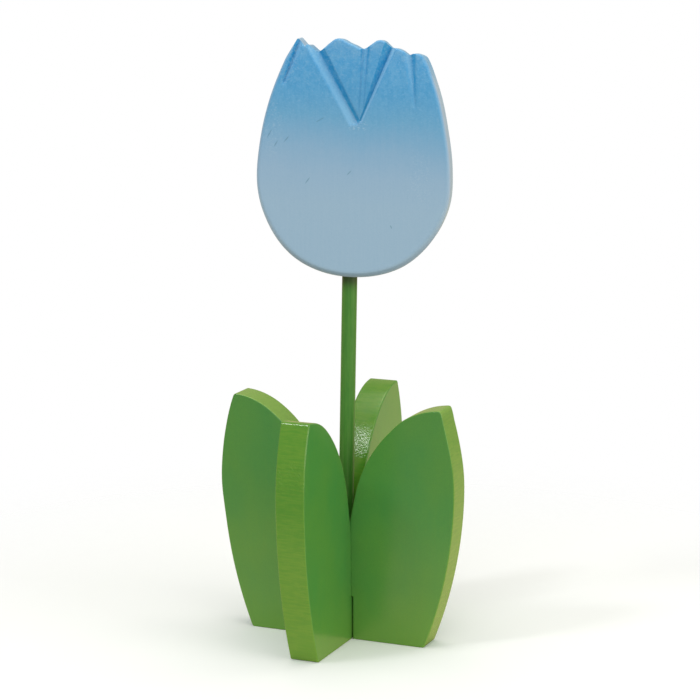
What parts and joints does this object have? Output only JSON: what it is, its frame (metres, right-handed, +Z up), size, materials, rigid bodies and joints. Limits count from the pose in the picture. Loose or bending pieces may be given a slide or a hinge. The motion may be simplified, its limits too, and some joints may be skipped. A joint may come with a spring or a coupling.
{
  "type": "wooden tulip ornament",
  "caption": "Painted wooden tulip with a carved blossom board on a dowel stem, standing in leaf boards that cross in a halved joint.",
  "frame": {"origin": "on the ground under the middle of the bounding box, which is the middle of both leaf boards' widths", "axes": "+Z up, +X to the right along the side leaves, +Y back along the cross leaves; the carved face of the blossom looks mostly towards -Y"},
  "size_m": [0.134, 0.134, 0.3194],
  "materials": {
    "leaf_paint": "satin leaf-green paint on sawn solid wood, a little lighter on the sawn edges",
    "stem_paint": "satin leaf-green paint on a turned dowel",
    "blossom_paint": "thin matt paint, sky blue at the crown fading to pale grey-blue below, with sanded edges"
  },
  "bodies": {
    "root": {"side_leaves": "leaf_paint", "cross_leaves": "leaf_paint", "stem": "stem_paint", "blossom": "blossom_paint"}
  },
  "joints": []
}
